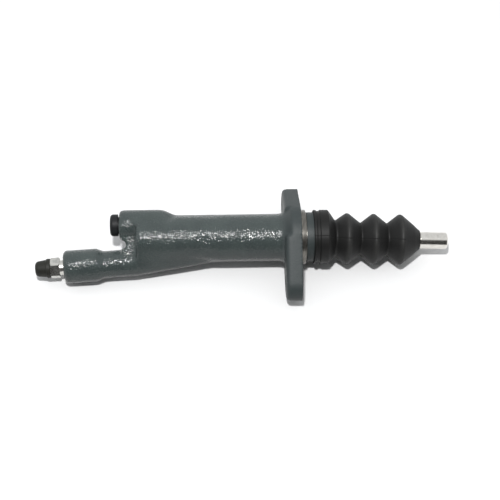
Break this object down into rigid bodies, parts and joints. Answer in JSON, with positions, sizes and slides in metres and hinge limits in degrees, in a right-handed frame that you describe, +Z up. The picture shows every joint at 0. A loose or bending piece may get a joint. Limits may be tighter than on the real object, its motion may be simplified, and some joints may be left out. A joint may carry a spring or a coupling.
{
  "type": "clutch slave cylinder",
  "caption": "Hydraulic clutch slave cylinder: cast barrel with an in-line bleed arm, a two-eared flange, a bellows boot and a steel pushrod.",
  "frame": {"origin": "on the bore axis, at the flange's mounting face", "axes": "+X along the bore towards the pushrod, Y along the line of the two bolt holes, +Z up"},
  "size_m": [0.2445, 0.077, 0.0389],
  "materials": {
    "painted_iron": "grey-green enamel over rough cast iron",
    "piston_alloy": "turned",
    "zinc_steel": "zinc plated",
    "seal_rubber": "smooth",
    "spring_steel": "oiled",
    "bright_steel": "ground",
    "boot_rubber": "matte moulded",
    "plated_steel": "bright zinc plate",
    "black_plastic": "moulded"
  },
  "bodies": {
    "housing": {"cylinder_body": "painted_iron", "retaining_ring": "spring_steel", "return_spring": "spring_steel", "dust_boot": "boot_rubber"},
    "piston": {"piston": "piston_alloy", "cup_washer": "zinc_steel", "primary_cup": "seal_rubber", "secondary_cup": "seal_rubber", "spring_seat": "zinc_steel"},
    "pushrod": {"pushrod": "bright_steel"},
    "bleed_screw": {"bleed_screw": "plated_steel"},
    "bleed_cap": {"bleed_cap": "boot_rubber"},
    "port_plug": {"port_plug": "black_plastic"}
  },
  "joints": [
    {"name": "piston_slide", "type": "slide", "parent": "housing", "child": "piston", "axis": [1, 0, 0], "range_m": [-0.022, 0], "stiffness_N_per_m": 800, "springref_m": 0.025, "deforming": ["return_spring", "dust_boot"]},
    {"name": "rod_pivot", "type": "hinge", "parent": "piston", "child": "pushrod", "pos_m": [-0.012, 0, 0], "axis": [0, -1, 0], "range_deg": [0, 4], "deforming": ["dust_boot"]},
    {"name": "bleed_turn", "type": "hinge", "parent": "housing", "child": "bleed_screw", "pos_m": [-0.13954, -0.01296, -0.00894], "axis": [-0.9986, -0.0431, -0.0297], "range_deg": [0, 270]},
    {"name": "cap_pull", "type": "slide", "parent": "bleed_screw", "child": "bleed_cap", "axis": [-0.9986, -0.0431, -0.0297], "range_m": [0, 0.02]},
    {"name": "plug_pull", "type": "slide", "parent": "housing", "child": "port_plug", "axis": [-1, 0, 0], "range_m": [0, 0.02]}
  ]
}
